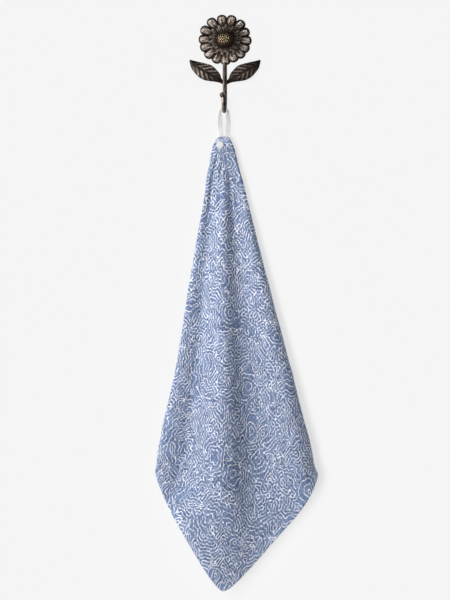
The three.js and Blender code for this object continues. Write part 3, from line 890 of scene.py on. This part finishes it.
def petal(angle, start, reach, half_width, base_width, depth, rise, height, groove, shade, seed):
    """One petal: s runs out from the middle of the flower, t across it. depth is its height
    over the wall at the foot and rise how much higher it lies at its tip; it is dark up to
    the share shade of its length."""
    rows, cols = 30, 21
    rng = np.random.default_rng(seed)
    bend, twist, size = rng.normal(0, 1, 3) * (0.4, 0.05, 0.02)
    s = np.sin(np.linspace(0, 1, rows) * math.pi / 2) ** 1.15
    t = np.sin(np.linspace(-1, 1, cols) * math.pi / 2)
    S, T = np.meshgrid(s, t, indexing="ij")
    length = reach * (1 + size) - start
    wide = base_width + (half_width - base_width) * smoothstep(S, 0, 0.72)
    tip = np.clip((S * length - (length - 0.92 * half_width)) / (0.92 * half_width), 0, 1)
    wide = wide * np.sqrt(np.clip(1 - tip ** 2.3, 0.0004, 1))
    radius = start + length * S
    rim = (1 - T ** 2) ** 0.6 * np.sqrt(np.clip(1 - tip ** 3, 0, 1))
    crown = height * rim
    dish = groove * np.exp(-(T / 0.2) ** 2) * smoothstep(S, 0.05, 0.3)
    dish = dish * (1 - smoothstep(S, 0.6, 0.85))
    pleats = 0.16 * np.cos(T * 5 * math.pi) * rim * (1 - smoothstep(S, 0.5, 0.8))
    y = -(depth + rise * S + crown - dish + pleats + twist * T * wide)
    x = T * wide + bend * S ** 2
    a = angle * DEG
    X = radius * math.sin(a) + x * math.cos(a)
    Z = radius * math.cos(a) - x * math.sin(a)
    front = np.stack([X + FLOWER[0], y, Z * FLOWER_SQUASH + FLOWER[1]], axis=2)
    back = front.copy()
    back[..., 1] = -1.6
    body = smoothstep(1 - np.abs(T), 0.10, 0.5) * (1 - smoothstep(tip, 0.45, 0.85))
    # Bright streaks in the outer part, and a painted highlight: a little brighter on the flower's
    # left, the side the light comes from
    streak = 0.5 + 0.5 * np.cos(T * 5 * math.pi + bend)
    worn_and_lit = (0.1 + 0.9 * smoothstep(S, shade, shade + 0.5)) * (0.55 + 0.45 * streak ** 0.5) * body
    worn_and_lit = worn_and_lit * (1 - 0.35 * dish / groove) * (1.02 - 0.17 * math.sin(a))
    # Rows run outwards and columns clockwise, so the order is turned to face the viewer.
    points, faces = closed_grid(front[:, ::-1], back[:, ::-1])
    values = np.concatenate([worn_and_lit[:, ::-1].ravel(), np.zeros(worn_and_lit.size)])
    return points, faces, values


def petal_ring(ring):
    """The petals of one row of the table, as (points, faces, wear)."""
    turn, *shape, wear_and_sheen, seed = ring
    petals = [petal(angle + turn, *shape, seed + k) for k, angle in enumerate(PETAL_ANGLES)]
    return [(points, faces, wear_and_sheen * worn_and_lit) for points, faces, worn_and_lit in petals]


SEED_COUNT, SEED_RADIUS = 60, 0.105      # seeds on the dome; radius as a share of its radius
SEED_TURN = 2.399963                     # radians from each seed to the next, the golden angle
DOME_RADIUS, DOME_HEIGHT, DOME_FOOT = 14.0, 7.4, -6.0
DOME_X, DOME_Y, DOME_Z = -0.3, -8.6, 3.6


def dome():
    """The seed head: small round seeds in two families of spirals."""
    rows, sides = 44, 132
    seeds = []
    for k in range(SEED_COUNT):
        radius = math.sqrt((k + 0.5) / SEED_COUNT)
        seeds.append((radius * math.cos(k * SEED_TURN), radius * math.sin(k * SEED_TURN)))
    seeds = np.array(seeds)
    i, k = np.meshgrid(np.linspace(0.02, 1, rows), np.arange(sides) / sides, indexing="ij")
    px, pz = i * np.cos(2 * math.pi * k), i * np.sin(2 * math.pi * k)
    gap = np.hypot(px[..., None] - seeds[:, 0], pz[..., None] - seeds[:, 1]).min(-1)
    bump = np.clip(1 - (gap / SEED_RADIUS) ** 2, 0, 1) ** 0.7
    lift = DOME_HEIGHT * np.sqrt(np.clip(1 - (i * 0.995) ** 2, 0, 1)) + 1.1 * bump * (1.15 - i)
    X, Z = px * DOME_RADIUS + DOME_X, pz * DOME_RADIUS * 0.92 + DOME_Z
    points = np.stack([X, DOME_Y - lift, Z], axis=2).reshape(-1, 3)
    faces = []
    for r in range(rows - 1):
        for s in range(sides):
            a, b = r * sides + s, r * sides + (s + 1) % sides
            faces.append((a, a + sides, b + sides, b))
    first = len(points)
    # A short wall goes down into the flower, and both ends are closed.
    low = points[-sides:].copy()
    low[:, 1] = DOME_FOOT
    tip = [DOME_X, DOME_Y - DOME_HEIGHT - 0.4, DOME_Z]
    points = np.vstack([points, low, [tip], [[DOME_X, DOME_FOOT, DOME_Z]]])
    base = (rows - 1) * sides
    for s in range(sides):
        a, b = base + s, base + (s + 1) % sides
        faces.append((a, first + s, first + (s + 1) % sides, b))
    top, bottom = len(points) - 2, len(points) - 1
    for s in range(0, sides, 2):
        faces.append((top, s, s + 1, (s + 2) % sides))
        faces.append((bottom, first + (s + 2) % sides, first + s + 1, first + s))
    # The seeds are rubbed bright near the middle, with a painted highlight above and to the left,
    # where the light comes from.
    light = np.clip(1.02 - i - 0.25 * (px - pz), 0.3, 1)
    worn_and_lit = np.concatenate([(1.6 * bump * light).ravel(), np.zeros(sides + 2)])
    return points, faces, worn_and_lit


def leaf(side):
    """The left leaf for side 1 and its mirror image for side -1."""
    rows, cols = 64, 33
    stations = np.array(LEAF_STATIONS[1:], float)
    where = np.linspace(0, len(stations) - 1, rows)
    cols_at = [smooth_curve(np.arange(len(stations)), stations[:, k])(where) for k in range(5)]
    top_x, top_z, low_x, low_z, depth = (c[:, None] for c in cols_at)
    s = np.linspace(0, 1, rows)[:, None]
    t = np.linspace(0, 1, cols)[None, :]
    middle = 2 * np.abs(t - 0.5)
    crown = 2.0 * np.sin(math.pi * t) - 1.2 * np.exp(-((t - 0.5) / 0.06) ** 2)
    # Side veins run forward from the midrib; the leaf bulges between them.
    phase = 8.2 * s - 1.5 * middle * np.where(t < 0.5, 1.0, 1.15)
    quilt = np.abs(np.sin(math.pi * phase)) ** 0.6
    across = smoothstep(middle, 0.05, 0.17) * (1 - smoothstep(middle, 0.86, 1.0))
    swell = np.clip(np.sin(math.pi * np.clip(s * 1.08, 0, 1)), 0, 1)
    rim = smoothstep(middle, 0.84, 0.93) * (1 - smoothstep(middle, 0.93, 1.0))
    rib = np.exp(-((t - 0.5) / 0.03) ** 2)
    bulge = 1.1 * (quilt - 0.5) * across * swell
    y = -(depth + crown + bulge + 0.4 * rim + 0.9 * rib * (1 - s * 0.2))
    x = FLOWER[0] + side * (top_x + (low_x - top_x) * t)
    z = top_z + (low_z - top_z) * t
    front = np.stack([x, y, z + 0 * x], axis=2)
    back = front.copy()
    back[..., 1] = -(depth + 2.0 * np.sin(math.pi * t)) + 2.3
    worn_and_lit = 1.1 * quilt ** 0.7 * across * np.sqrt(swell) + 0.3 * rib + 0.35 * rim
    # Painted shade: the right leaf is made darker than the left one.
    worn_and_lit = np.clip(worn_and_lit - (0.36 if side > 0 else 0.46), 0, 1) * np.ones_like(x)
    if side < 0:
        front, back, worn_and_lit = front[:, ::-1], back[:, ::-1], worn_and_lit[:, ::-1]
    front, back, worn_and_lit = front[::-1], back[::-1], worn_and_lit[::-1]
    points, faces = closed_grid(front, back)
    return points, faces, np.concatenate([worn_and_lit.ravel(), np.zeros(worn_and_lit.size)])


def bar():
    """The stem that runs down, bends to the viewer and comes up again, with faint dents."""
    points = [(STEM_X, -STEM_DEPTH, z) for z in (-32, -45, -70, -84)]
    for k in range(9):
        a = k / 8 * math.pi
        points.append((STEM_X - 1.8 * k / 8, -STEM_DEPTH - U_RADIUS * (1 - math.cos(a)),
                       U_CENTRE_Z - U_RADIUS * math.sin(a)))
    points.append((-3.6, -STEM_DEPTH - 2 * U_RADIUS, -86))
    path = centripetal(points, 150)
    along = unit(np.gradient(path, axis=0))
    side = unit(np.array([1.0, 0, 0]) - along * along[:, :1])
    up = np.cross(side, along)
    rng = np.random.default_rng(5)
    sides = 24
    w = 2 * math.pi * np.arange(sides) / sides
    hammer = rng.normal(0, 1, (len(path) + 8, sides))
    kernel = np.exp(-np.linspace(-2, 2, 9) ** 2)
    hammer = np.apply_along_axis(
        lambda c: np.convolve(c, kernel / kernel.sum(), "valid"), 0, hammer)
    hammer = (np.roll(hammer, 1, 1) + np.roll(hammer, -1, 1) + 2 * hammer) / 4
    radius = BAR_RADIUS - 0.05 + 0.09 * hammer
    rings = (path[:, None] + radius[..., None] * (np.cos(w)[None, :, None] * side[:, None]
             + np.sin(w)[None, :, None] * up[:, None]))
    pts, faces = tube(path, rings)
    # Painted highlight: brighter on its left, the side the light comes from, and duller in the
    # bend
    left = np.clip(-np.cos(w + 0.5), 0, 1)[None, :]
    worn_and_lit = 0.42 + 0.75 * left + 0.25 * hammer
    worn_and_lit = worn_and_lit * np.where(path[:, 2] < -78, 0.7, 1.0)[:, None]
    return pts, faces, np.concatenate([worn_and_lit.ravel(), [0.4, 0.4]])


def ball():
    """The ball that ends the bar, as a lathe body turned to stand upright."""
    turns = np.linspace(0.12, math.pi - 0.12, 20)
    profile = [(BALL_RADIUS * math.sin(t), -BALL_RADIUS * math.cos(t)) for t in turns]
    p, f = lathe(profile, 32, (0, 0, 0))
    p = np.stack([p[:, 0], -p[:, 2], p[:, 1]], axis=1)
    # Painted highlight: the ball is made lighter towards its top.
    worn_and_lit = 0.55 + 0.3 * p[:, 2] / BALL_RADIUS
    return p + [-4.05, -STEM_DEPTH - 2 * U_RADIUS, -84.6], f, worn_and_lit


def plate():
    """The shallow dish behind the petals that lies on the wall."""
    profile = [(0.4, -7.6), (10, -7.5), (13, -6.6), (16, -4.4), (24, -3.2), (30, -2.7), (32, -2.2),
               (33, -1.3), (31, -0.05), (20, -0.02), (0.4, 0)]
    p, f = lathe(profile, 90, (FLOWER[0], 0, 0), (1, FLOWER_SQUASH))
    p[:, 2] += FLOWER[1]
    return p, f, np.full(len(p), 0.05)


bronze = bronze_material()
golden = bronze_material("rubbed_bronze", 1.0)
outer_petals = joined(petal_ring(PETAL_RINGS[1]))
inner_petals = joined(petal_ring(PETAL_RINGS[2]) + petal_ring(PETAL_RINGS[3]))
hook_pieces = []
for name, part, material in (
    ("hook_outer_petals", outer_petals, bronze),
    ("hook_inner_petals", inner_petals, bronze),
    ("hook_seed_head", dome(), golden),
    ("hook_back_plate", plate(), bronze),
    ("hook_leaves", joined([leaf(1), leaf(-1)]), bronze),
    ("hook_bar", joined([bar(), ball()]), bronze),
):
    points, faces, worn_and_lit = part
    obj = make_object(name, points, faces, material)
    add_values(obj, "wear_and_sheen", worn_and_lit)
    hook_pieces.append(obj)


# What each piece rides on and stands for
for piece in (towel_face, towel_reverse):
    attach(piece, "root")
    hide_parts("towel")
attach(hem_stitches, "root")
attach(strap_tape, "root")
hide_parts("hanging_strap")
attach(strap_thread, "root")
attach(snap_button, "root")
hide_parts("snap")
for piece in hook_pieces:
    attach(piece, "root")
    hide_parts("hook")


# Wall, light and camera
def wall():
    """The wall's front, 1.5 mm behind the plane Y = 0 that the hook stands on."""
    size, y = 4000, 1.5
    points = [(-size, y, -size), (size, y, -size), (size, y, size), (-size, y, size)]
    obj = make_object("backdrop_wall", points, [(0, 1, 2, 3)], wall_material())
    return obj


backdrop = wall()


def add_light(name, data, place, towards, only, shaded_by=None):
    obj = bpy.data.objects.new(name, data)
    obj.location = place
    obj.rotation_mode = "QUATERNION"
    obj.rotation_quaternion = towards.to_track_quat("-Z", "Y")
    bpy.context.scene.collection.objects.link(obj)
    obj.light_linking.receiver_collection = only
    obj.light_linking.blocker_collection = shaded_by


def sun_light(name, left, above, spread, level, only=None, shaded_by=None):
    """A soft light from far off, turned left of and above the viewer by these degrees;
    level is the brightness it gives a white surface that faces it."""
    data = bpy.data.lights.new(name, "SUN")
    data.energy, data.angle = level * math.pi, spread * DEG
    to_light = Vector((-math.sin(left * DEG) * math.cos(above * DEG),
                       -math.cos(left * DEG) * math.cos(above * DEG), math.sin(above * DEG)))
    add_light(name, data, to_light * 4, -to_light, only, shaded_by)


def near_light(name, place, target, size, level, only):
    """A round soft box for some pieces alone; level as above, at the target."""
    place, target = Vector(place), Vector(target)
    data = bpy.data.lights.new(name, "AREA")
    data.shape, data.size = "DISK", size
    data.energy = level * math.pi ** 2 * (target - place).length_squared
    add_light(name, data, place, target - place, only)


def light_group(name, pieces):
    """The pieces that a light falls on, or that shade it."""
    group = bpy.data.collections.new(name)
    for piece in pieces:
        group.objects.link(piece)
    return group


cloth_pieces = light_group("cloth_pieces", [towel_face, towel_reverse, hem_stitches])
strap_pieces = light_group("strap_pieces", [strap_tape, strap_thread])
lit_pieces = light_group("lit_pieces", [*cloth_pieces.objects, *strap_pieces.objects,
                                        snap_button, *hook_pieces])
wall_pieces = light_group("wall_pieces", [backdrop])
# Degrees left of and above the viewer, spread in degrees, level
sun_light("front_light", 13, 10, 11, 0.23)
sun_light("wall_light", 13, -6, 14, 0.85, wall_pieces, cloth_pieces)
sun_light("strap_light", 0, 25, 40, 0.22, strap_pieces)
sun_light("fill_light", -20, 0, 90, 0.17, lit_pieces)
near_light("side_light", (-0.86, -0.60, -0.17), (0, -0.05, -0.45), 0.75, 1.11, lit_pieces)

world = bpy.data.worlds.new("studio")
bpy.context.scene.world = world
world.use_nodes = True
sky = world.node_tree.nodes["Background"]
sky.inputs["Color"].default_value = (1, 1, 1, 1)
ray = world.node_tree.nodes.new("ShaderNodeLightPath").outputs["Is Camera Ray"]
seen = world.node_tree.nodes.new("ShaderNodeMapRange")
world.node_tree.links.new(ray, seen.inputs["Value"])
seen.inputs["To Min"].default_value = 0.14      # as light on the pieces
seen.inputs["To Max"].default_value = 0.80      # as the pale ground behind them
world.node_tree.links.new(seen.outputs[0], sky.inputs["Strength"])
bpy.context.scene.view_settings.view_transform = "Standard"

camera_data = bpy.data.cameras.new("camera")
camera = bpy.data.objects.new("camera", camera_data)
bpy.context.scene.collection.objects.link(camera)
bpy.context.scene.camera = camera
DISTANCE, FIELD_HEIGHT = 6.0, 0.936
camera_data.sensor_width = 36
camera_data.lens = 36 * DISTANCE / FIELD_HEIGHT
camera_data.clip_end = 60
camera.location = (-0.0005, -0.03 - DISTANCE, -0.404)
camera.rotation_euler = (math.pi / 2, 0, 0)
